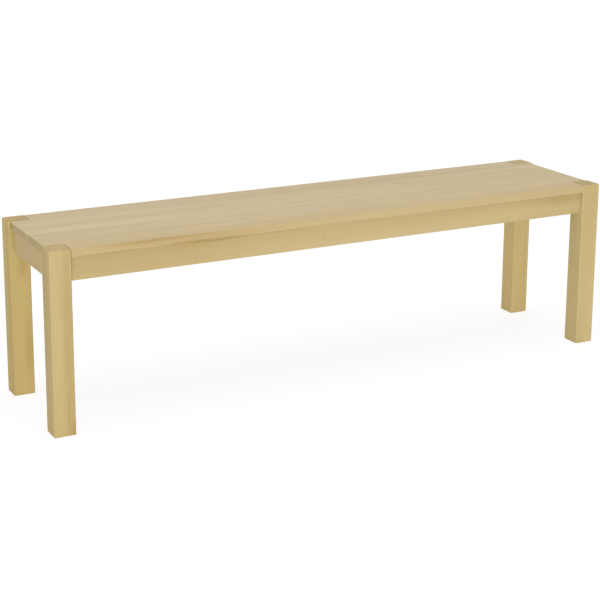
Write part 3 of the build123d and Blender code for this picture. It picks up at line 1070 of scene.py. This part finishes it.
def set_at_places(tree, inlet, body):
    """Put one body at each point, its axis along the point's own axis, and close the tree."""
    points = put(tree, "GeometryNodeMeshToPoints", {"Mesh": inlet["Places"]}).outputs[0]
    axis = put(tree, "GeometryNodeInputNamedAttribute", {"Name": "axis"}, data_type="FLOAT_VECTOR")
    spin = put(tree, "GeometryNodeInputNamedAttribute", {"Name": "spin"}, data_type="FLOAT")
    aligned = put(tree, "FunctionNodeAlignRotationToVector", {"Vector": axis.outputs[0]}, axis="Z")
    about = put(tree, "ShaderNodeCombineXYZ", {"Z": spin.outputs[0]})
    turned = put(tree, "FunctionNodeRotateRotation", {
        "Rotation": aligned.outputs[0], "Rotate By": about.outputs[0]}, rotation_space="LOCAL")
    placed = put(tree, "GeometryNodeInstanceOnPoints", {
        "Points": points, "Instance": body, "Rotation": turned.outputs[0]})
    real = put(tree, "GeometryNodeRealizeInstances", {"Geometry": placed.outputs[0]})
    finished = put(tree, "GeometryNodeSetMaterial", {
        "Geometry": real.outputs[0], "Material": inlet["Material"]})
    put(tree, "NodeGroupOutput", {0: finished.outputs[0]})


def fastener_tree(name, build, sizes):
    """A geometry tree that builds a body from named sizes and puts it at each place."""
    tree = bpy.data.node_groups.new(name, "GeometryNodeTree")
    new_socket = tree.interface.new_socket
    new_socket(name="Places", in_out="INPUT", socket_type="NodeSocketGeometry")
    for label, value in sizes.items():
        size = new_socket(name=label, in_out="INPUT", socket_type="NodeSocketFloat")
        size.default_value = value
    new_socket(name="Material", in_out="INPUT", socket_type="NodeSocketMaterial")
    new_socket(name="Geometry", in_out="OUTPUT", socket_type="NodeSocketGeometry")
    inlet = put(tree, "NodeGroupInput").outputs
    set_at_places(tree, inlet, build(tree, *(inlet[label] for label in sizes)))
    return tree


def places_mesh(name, places):
    """A mesh of loose points with the axis and the spin of the fastener at each."""
    mesh = bpy.data.meshes.new(name)
    mesh.from_pydata([tuple(point) for point, _, _ in places], [], [])
    mesh.attributes.new("axis", "FLOAT_VECTOR", "POINT")
    mesh.attributes.new("spin", "FLOAT", "POINT")
    for k, (_, axis, spin) in enumerate(places):
        mesh.attributes["axis"].data[k].vector = axis
        mesh.attributes["spin"].data[k].value = spin
    return mesh


def grow(node, build, sizes, places, material, slot):
    """Make a node's fasteners at their places and keep them as plain mesh."""
    name = f"{node.removesuffix('s')}_set"
    tree = fastener_tree(f"{name}_tree", build, sizes)
    piece = add_object(name, places_mesh(f"{name}_places", places), material)
    modifier = piece.modifiers.new("fasteners", "NODES")
    modifier.node_group = tree
    values = dict(sizes, Material=material)
    for item in tree.interface.items_tree:
        if item.in_out == "INPUT" and item.name in values:
            modifier[item.identifier] = values[item.name]
    baked(piece)
    for leftover in ("axis", "spin"):
        if leftover in piece.data.attributes:
            piece.data.attributes.remove(piece.data.attributes[leftover])
    shade(piece, SHARP_STEEL)
    settle(piece, slot, node)


def solid_groups(node):
    """Centre and size of each separate solid of a node, from the corners of its own mesh."""
    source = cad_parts[node]
    grid = bmesh.new()
    grid.from_mesh(source.data)
    bmesh.ops.remove_doubles(grid, verts=grid.verts, dist=SAME_POINT)
    left = set(grid.verts)
    groups = []
    while left:
        front = [left.pop()]
        group = list(front)
        while front:
            vertex = front.pop()
            for edge in vertex.link_edges:
                other = edge.other_vert(vertex)
                if other in left:
                    left.remove(other)
                    front.append(other)
                    group.append(other)
        points = [source.matrix_world @ vertex.co for vertex in group]
        low = Vector([min(p[k] for p in points) for k in range(3)])
        high = Vector([max(p[k] for p in points) for k in range(3)])
        groups.append(((low + high) / 2, high - low))
    grid.free()
    return sorted(groups, key=lambda group: tuple(round(value, 4) for value in group[0]))


def diagonal_places(node, shift, spin):
    """The foot of each fastener on a bolt, whose axis leads from the leg to the bench's middle."""
    places = []
    for k, (centre, _) in enumerate(solid_groups(node)):
        axis = Vector((*inward(centre), 0)).normalized()
        places.append((centre + axis * shift, axis, spin[0] + spin[1] * k))
    return places


def screw_places(node, head_height):
    """Head seat of each screw and the axis that its head faces along."""
    places = []
    for k, (centre, size) in enumerate(solid_groups(node)):
        sx, sy = inward(centre)
        longest = max(range(3), key=lambda n: size[n])
        axis = Vector(((sx, 0, 0), (0, sy, 0), (0, 0, -1))[longest])
        seat = centre + axis * (size[longest] / 2 - head_height)
        places.append((seat, axis, SCREW_SPIN[0] + SCREW_SPIN[1] * k))
    return places


class BENCH_OT_bolts(bpy.types.Operator):
    """Make the hanger bolts, washers and nuts"""

    bl_idname = "bench.bolts"
    bl_label = "Bolts"

    def execute(self, context):
        steel = context.scene.bench_steel
        radius = steel.bolt_diameter / 2
        look = (steel_material("bolt_zinc", steel.zinc_color), "zinc_hardware")
        sizes = {"Radius": radius, "Pitch": steel.bolt_pitch, "Free Length": steel.bolt_free,
                 "Wood Length": steel.bolt_wood}
        shift = (steel.bolt_wood - steel.bolt_free) / 2
        places = diagonal_places("hanger_bolts", shift, BOLT_SPIN)
        grow("hanger_bolts", hanger_bolt, sizes, places, *look)
        sizes = {"Radius": steel.washer_diameter / 2, "Thickness": steel.washer_thickness,
                 "Hole Radius": radius + WASHER_PLAY}
        places = diagonal_places("bolt_washers", -steel.washer_thickness / 2, STACK_SPIN)
        grow("bolt_washers", washer, sizes, places, *look)
        sizes = {"Flat Radius": steel.nut_flats / 2, "Height": steel.nut_height,
                 "Hole Radius": radius + NUT_PLAY}
        places = diagonal_places("bolt_nuts", -steel.nut_height / 2, STACK_SPIN)
        grow("bolt_nuts", nut, sizes, places, *look)
        return {"FINISHED"}


class BENCH_OT_screws(bpy.types.Operator):
    """Make the screws of the cleats and of the corner brackets"""

    bl_idname = "bench.screws"
    bl_label = "Screws"

    def execute(self, context):
        steel = context.scene.bench_steel
        look = (steel_material("screw_zinc", steel.screw_color), "zinc_screws")
        head, shank = steel.screw_head / 2, steel.screw_diameter / 2
        sizes = {"Head Radius": head, "Head Height": steel.pan_height, "Shank Radius": shank,
                 "Length": steel.bracket_screw}
        places = screw_places("bracket_screws", steel.pan_height)
        grow("bracket_screws", pan_head_screw, sizes, places, *look)
        sizes = {"Head Radius": head, "Head Depth": steel.sunk_depth, "Shank Radius": shank,
                 "Length": steel.cleat_screw}
        places = screw_places("cleat_screws", 0.0)
        grow("cleat_screws", countersunk_screw, sizes, places, *look)
        return {"FINISHED"}


# Studio

WHITE = (1, 1, 1, 1)
FLOOR_REACH = 9.0
FLOOR_TONES = ((0.84, 0.84, 0.84, 1), (0.86, 0.86, 0.86, 1))
FLOOR_CELLS = (3, 3, 3)
LAMP_TARGET = Vector((0, 0, 0.25))
LOW_LAMP_SIZE = (3.4, 1.5)
LOW_LAMP_HEIGHT = 0.85
LOW_LAMP_TURNS = {"key": -28, "fill": 15, "back": 152}  # degrees to the right of the front
TOP_LAMP_PLACE = (-0.3, -0.4, 4.0)
TOP_LAMP_SIZE = (3.5, 3.5)
SENSOR_WIDTH = 36.0
VIEW_END = 60.0


def seen_share(tree, rays):
    """1 for the rays that the camera, mirrors and glass send out, and 0 for the light itself."""
    seen = calc(tree, "ADD", rays["Is Camera Ray"], rays["Is Glossy Ray"], clamp=True)
    return calc(tree, "ADD", seen, rays["Is Transmission Ray"], clamp=True)


def floor_material(studio):
    """White floor for the camera and for reflections, which still takes part of the shadow.

    A camera under the floor looks through it, and the light stays on its own side.
    """
    material, tree = new_material("studio_floor")
    rays = put(tree, "ShaderNodeLightPath").outputs
    coords = put(tree, "ShaderNodeTexCoord").outputs["Object"]
    pale = blend_colors(tree, noise(tree, coords, FLOOR_CELLS, 2.0), *FLOOR_TONES)
    matt = put(tree, "ShaderNodeBsdfDiffuse", {"Color": pale})
    glow = put(tree, "ShaderNodeEmission", {"Color": WHITE, "Strength": studio.floor_glow})
    share = times(tree, seen_share(tree, rays), 1.0 - studio.shadow_share)
    boosted = put(tree, "ShaderNodeMixShader", {0: share, 1: matt.outputs[0], 2: glow.outputs[0]})
    under = put(tree, "ShaderNodeNewGeometry").outputs["Backfacing"]
    under = times(tree, under, rays["Is Camera Ray"])
    clear = put(tree, "ShaderNodeBsdfTransparent")
    finish_material(tree, put(tree, "ShaderNodeMixShader", {
        0: under, 1: boosted.outputs[0], 2: clear.outputs[0]}))
    return material


def make_floor(studio):
    """A large sheet under the bench."""
    mesh = bpy.data.meshes.new("studio_floor")
    corners = ((-1, -1), (1, -1), (1, 1), (-1, 1))
    points = [(x * FLOOR_REACH, y * FLOOR_REACH, 0) for x, y in corners]
    mesh.from_pydata(points, [], [(0, 1, 2, 3)])
    floor = add_object("studio_floor", mesh, floor_material(studio))


def make_world(strength):
    """Even light from all round, which the camera and reflections see as white."""
    world = bpy.data.worlds.new("studio_sky")
    world.use_nodes = True
    tree = world.node_tree
    tree.nodes.clear()
    lit = put(tree, "ShaderNodeBackground", {"Color": WHITE, "Strength": strength})
    seen = put(tree, "ShaderNodeBackground", {"Color": WHITE, "Strength": 1.0})
    share = seen_share(tree, put(tree, "ShaderNodeLightPath").outputs)
    both = put(tree, "ShaderNodeMixShader", {0: share, 1: lit.outputs[0], 2: seen.outputs[0]})
    put(tree, "ShaderNodeOutputWorld", {"Surface": both.outputs[0]})
    bpy.context.scene.world = world


def make_lamp(name, place, size, power):
    """A soft rectangular lamp that faces the bench and isn't seen itself."""
    lamp = bpy.data.lights.new(name, "AREA")
    lamp.shape = "RECTANGLE"
    lamp.size, lamp.size_y = size
    lamp.energy = power
    light = bpy.data.objects.new(name, lamp)
    bpy.context.scene.collection.objects.link(light)
    light.location = place
    light.rotation_euler = (LAMP_TARGET - Vector(place)).to_track_quat("-Z", "Y").to_euler()
    light.visible_camera = False
    light.visible_glossy = False


def make_lamps(studio):
    """Three low lamps round the bench and one over it."""
    reach = studio.lamp_distance
    for name, turn in LOW_LAMP_TURNS.items():
        place = (sin(radians(turn)) * reach, -cos(radians(turn)) * reach, LOW_LAMP_HEIGHT)
        make_lamp(f"{name}_lamp", place, LOW_LAMP_SIZE, getattr(studio, f"{name}_power"))
    make_lamp("top_lamp", TOP_LAMP_PLACE, TOP_LAMP_SIZE, studio.top_power)


def make_camera(studio):
    """The camera at the photograph's viewing angle."""
    data = bpy.data.cameras.new("studio_camera")
    data.sensor_width = SENSOR_WIDTH
    data.lens = studio.focal_length
    data.shift_y = studio.camera_shift
    data.clip_end = VIEW_END
    heading, dip, roll = studio.camera_heading, studio.camera_dip, studio.camera_roll
    ahead = Vector((sin(heading) * cos(dip), cos(heading) * cos(dip), -sin(dip)))
    right = Vector((cos(heading), -sin(heading), 0))
    up = right.cross(ahead)
    right, up = cos(roll) * right + sin(roll) * up, cos(roll) * up - sin(roll) * right
    camera = bpy.data.objects.new("studio_camera", data)
    bpy.context.scene.collection.objects.link(camera)
    turn = Matrix((right, up, -ahead)).transposed().to_4x4()
    camera.matrix_world = Matrix.Translation(Vector(studio.camera_place)) @ turn
    bpy.context.scene.camera = camera


class BENCH_OT_stage(bpy.types.Operator):
    """Set up the floor, the light and the camera"""

    bl_idname = "bench.stage"
    bl_label = "Studio"

    def execute(self, context):
        studio = context.scene.bench_studio
        make_floor(studio)
        make_world(studio.sky_strength)
        make_lamps(studio)
        make_camera(studio)
        context.scene.view_settings.view_transform = "Standard"
        return {"FINISHED"}


class BENCH_PT_panel(bpy.types.Panel):
    """Sidebar panel of the bench"""

    bl_idname = "BENCH_PT_panel"
    bl_label = "Dining Bench"
    bl_space_type = "VIEW_3D"
    bl_region_type = "UI"
    bl_category = "Bench"

    def draw(self, context):
        for operator in OPERATORS:
            self.layout.operator(operator.bl_idname)
        for group in SETTINGS:
            box = self.layout.box()
            settings = getattr(context.scene, group)
            for name in settings.bl_rna.properties.keys():
                if name not in {"rna_type", "name"}:
                    box.prop(settings, name)


OPERATORS = (
    BENCH_OT_legs,
    BENCH_OT_seat,
    BENCH_OT_aprons,
    BENCH_OT_inner_wood,
    BENCH_OT_brackets,
    BENCH_OT_bolts,
    BENCH_OT_screws,
    BENCH_OT_stage,
)
SETTINGS = {
    "bench_wood": BenchWoodSettings,
    "bench_shape": BenchShapeSettings,
    "bench_steel": BenchSteelSettings,
    "bench_studio": BenchStudioSettings,
}


def register():
    for group, settings in SETTINGS.items():
        bpy.utils.register_class(settings)
        setattr(bpy.types.Scene, group, bpy.props.PointerProperty(type=settings))
    for cls in (*OPERATORS, BENCH_PT_panel):
        bpy.utils.register_class(cls)


def unregister():
    for cls in (BENCH_PT_panel, *reversed(OPERATORS)):
        bpy.utils.unregister_class(cls)
    for group, settings in reversed(list(SETTINGS.items())):
        delattr(bpy.types.Scene, group)
        bpy.utils.unregister_class(settings)


def main():
    """Make every piece in order."""
    register()
    for operator in OPERATORS:
        family, call = operator.bl_idname.split(".")
        getattr(getattr(bpy.ops, family), call)()


if __name__ == "__main__":
    main()
